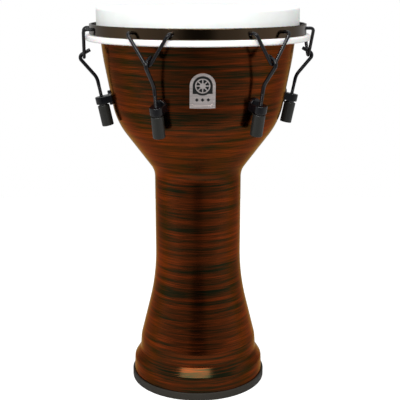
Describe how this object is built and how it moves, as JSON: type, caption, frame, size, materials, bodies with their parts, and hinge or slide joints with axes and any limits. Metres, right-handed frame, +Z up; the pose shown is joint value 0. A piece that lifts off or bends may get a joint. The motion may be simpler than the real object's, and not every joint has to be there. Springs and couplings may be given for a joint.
{
  "type": "goblet hand drum",
  "caption": "Goblet-shaped hand drum with a lacquered shell, synthetic head, and a rim pulled down by hook rods and barrel nuts for tuning.",
  "frame": {"origin": "centre of the foot ring underside, on the floor", "axes": "+Z up along the axis of the drum, -Y towards the side that carries the badge"},
  "size_m": [0.3582, 0.3436, 0.595],
  "materials": {
    "lacquer": "deep clear lacquer over streaked copper and dark brown",
    "foot_rubber": "matt moulded rubber",
    "head_white": "white synthetic drum film",
    "hoop_white": "smooth white",
    "band_black": "gloss black",
    "wire_black": "gloss black",
    "rod_black": "black with rolled thread",
    "lug_black": "satin black casting",
    "nut_black": "dark grey satin",
    "washer_steel": "blackened steel",
    "badge_metal": "cast, polished high spots",
    "badge_dark": "dark enamel",
    "inner_steel": "zinc plated"
  },
  "bodies": {
    "drum": {"shell": "lacquer", "foot_ring": "foot_rubber", "head_film": "head_white", "head_collar": "head_white", "badge_plate": "badge_metal", "badge_panel": "badge_dark", "badge_relief": "badge_metal", "badge_rivets": "badge_metal", "lug_backing_plates": "inner_steel", "lug_screws": "inner_steel", "nut_washers": "washer_steel", "lug_1": "lug_black", "lug_2": "lug_black", "lug_3": "lug_black", "lug_4": "lug_black", "lug_5": "lug_black", "lug_6": "lug_black"},
    "rim": {"rim_band": "band_black", "flesh_hoop": "hoop_white"},
    "yoke_1": {"rim_yoke_1": "wire_black"},
    "rod_1": {"tuning_rod_1": "rod_black"},
    "nut_1": {"tuning_nut_1": "nut_black"},
    "yoke_2": {"rim_yoke_2": "wire_black"},
    "rod_2": {"tuning_rod_2": "rod_black"},
    "nut_2": {"tuning_nut_2": "nut_black"},
    "yoke_3": {"rim_yoke_3": "wire_black"},
    "rod_3": {"tuning_rod_3": "rod_black"},
    "nut_3": {"tuning_nut_3": "nut_black"},
    "yoke_4": {"rim_yoke_4": "wire_black"},
    "rod_4": {"tuning_rod_4": "rod_black"},
    "nut_4": {"tuning_nut_4": "nut_black"},
    "yoke_5": {"rim_yoke_5": "wire_black"},
    "rod_5": {"tuning_rod_5": "rod_black"},
    "nut_5": {"tuning_nut_5": "nut_black"},
    "yoke_6": {"rim_yoke_6": "wire_black"},
    "rod_6": {"tuning_rod_6": "rod_black"},
    "nut_6": {"tuning_nut_6": "nut_black"}
  },
  "joints": [
    {"name": "nut_1_turn", "type": "hinge", "parent": "drum", "child": "nut_1", "pos_m": [-0.05732, -0.13504, 0.456], "axis": [0.0792, 0.1867, -0.9792], "range_deg": [-1441, 2521]},
    {"name": "rim_travel", "type": "slide", "parent": "drum", "child": "rim", "axis": [0, 0, 1], "range_m": [-0.00389, 0.00681], "deforming": ["head_collar"]},
    {"name": "rod_1_slide", "type": "slide", "parent": "drum", "child": "rod_1", "axis": [-0.0792, -0.1867, 0.9792], "range_m": [-0.00424, 0.00741]},
    {"name": "yoke_1_swing", "type": "hinge", "parent": "rim", "child": "yoke_1", "pos_m": [-0.06227, -0.14669, 0.563], "axis": [-0.9205, 0.3907, 0], "range_deg": [-1.16, 2.03]},
    {"name": "nut_2_turn", "type": "hinge", "parent": "drum", "child": "nut_2", "pos_m": [0.08829, -0.11716, 0.456], "axis": [-0.122, 0.162, -0.9792], "range_deg": [-1441, 2521]},
    {"name": "rod_2_slide", "type": "slide", "parent": "drum", "child": "rod_2", "axis": [0.122, -0.162, 0.9792], "range_m": [-0.00424, 0.00741]},
    {"name": "yoke_2_swing", "type": "hinge", "parent": "rim", "child": "yoke_2", "pos_m": [0.09591, -0.12727, 0.563], "axis": [-0.7986, -0.6018, 0], "range_deg": [-1.16, 2.03]},
    {"name": "nut_3_turn", "type": "hinge", "parent": "drum", "child": "nut_3", "pos_m": [0.14561, 0.01788, 0.456], "axis": [-0.2013, -0.0247, -0.9792], "range_deg": [-1441, 2521]},
    {"name": "rod_3_slide", "type": "slide", "parent": "drum", "child": "rod_3", "axis": [0.2013, 0.0247, 0.9792], "range_m": [-0.00424, 0.00741]},
    {"name": "yoke_3_swing", "type": "hinge", "parent": "rim", "child": "yoke_3", "pos_m": [0.15818, 0.01942, 0.563], "axis": [0.1219, -0.9925, 0], "range_deg": [-1.16, 2.03]},
    {"name": "nut_4_turn", "type": "hinge", "parent": "drum", "child": "nut_4", "pos_m": [0.05732, 0.13504, 0.456], "axis": [-0.0792, -0.1867, -0.9792], "range_deg": [-1441, 2521]},
    {"name": "rod_4_slide", "type": "slide", "parent": "drum", "child": "rod_4", "axis": [0.0792, 0.1867, 0.9792], "range_m": [-0.00424, 0.00741]},
    {"name": "yoke_4_swing", "type": "hinge", "parent": "rim", "child": "yoke_4", "pos_m": [0.06227, 0.14669, 0.563], "axis": [0.9205, -0.3907, 0], "range_deg": [-1.16, 2.03]},
    {"name": "nut_5_turn", "type": "hinge", "parent": "drum", "child": "nut_5", "pos_m": [-0.08829, 0.11716, 0.456], "axis": [0.122, -0.162, -0.9792], "range_deg": [-1441, 2521]},
    {"name": "rod_5_slide", "type": "slide", "parent": "drum", "child": "rod_5", "axis": [-0.122, 0.162, 0.9792], "range_m": [-0.00424, 0.00741]},
    {"name": "yoke_5_swing", "type": "hinge", "parent": "rim", "child": "yoke_5", "pos_m": [-0.09591, 0.12727, 0.563], "axis": [0.7986, 0.6018, 0], "range_deg": [-1.16, 2.03]},
    {"name": "nut_6_turn", "type": "hinge", "parent": "drum", "child": "nut_6", "pos_m": [-0.14561, -0.01788, 0.456], "axis": [0.2013, 0.0247, -0.9792], "range_deg": [-1441, 2521]},
    {"name": "rod_6_slide", "type": "slide", "parent": "drum", "child": "rod_6", "axis": [-0.2013, -0.0247, 0.9792], "range_m": [-0.00424, 0.00741]},
    {"name": "yoke_6_swing", "type": "hinge", "parent": "rim", "child": "yoke_6", "pos_m": [-0.15818, -0.01942, 0.563], "axis": [-0.1219, 0.9925, 0], "range_deg": [-1.16, 2.03]}
  ],
  "couplings": [
    {"joint": "nut_1_turn", "follows": "rim_travel", "rad_per_m": 6457.6},
    {"joint": "rod_1_slide", "follows": "rim_travel", "ratio": 1.0877},
    {"joint": "yoke_1_swing", "follows": "rim_travel", "rad_per_m": 5.1937},
    {"joint": "nut_2_turn", "follows": "rim_travel", "rad_per_m": 6457.6},
    {"joint": "rod_2_slide", "follows": "rim_travel", "ratio": 1.0877},
    {"joint": "yoke_2_swing", "follows": "rim_travel", "rad_per_m": 5.1937},
    {"joint": "nut_3_turn", "follows": "rim_travel", "rad_per_m": 6457.6},
    {"joint": "rod_3_slide", "follows": "rim_travel", "ratio": 1.0877},
    {"joint": "yoke_3_swing", "follows": "rim_travel", "rad_per_m": 5.1937},
    {"joint": "nut_4_turn", "follows": "rim_travel", "rad_per_m": 6457.6},
    {"joint": "rod_4_slide", "follows": "rim_travel", "ratio": 1.0877},
    {"joint": "yoke_4_swing", "follows": "rim_travel", "rad_per_m": 5.1937},
    {"joint": "nut_5_turn", "follows": "rim_travel", "rad_per_m": 6457.6},
    {"joint": "rod_5_slide", "follows": "rim_travel", "ratio": 1.0877},
    {"joint": "yoke_5_swing", "follows": "rim_travel", "rad_per_m": 5.1937},
    {"joint": "nut_6_turn", "follows": "rim_travel", "rad_per_m": 6457.6},
    {"joint": "rod_6_slide", "follows": "rim_travel", "ratio": 1.0877},
    {"joint": "yoke_6_swing", "follows": "rim_travel", "rad_per_m": 5.1937}
  ]
}
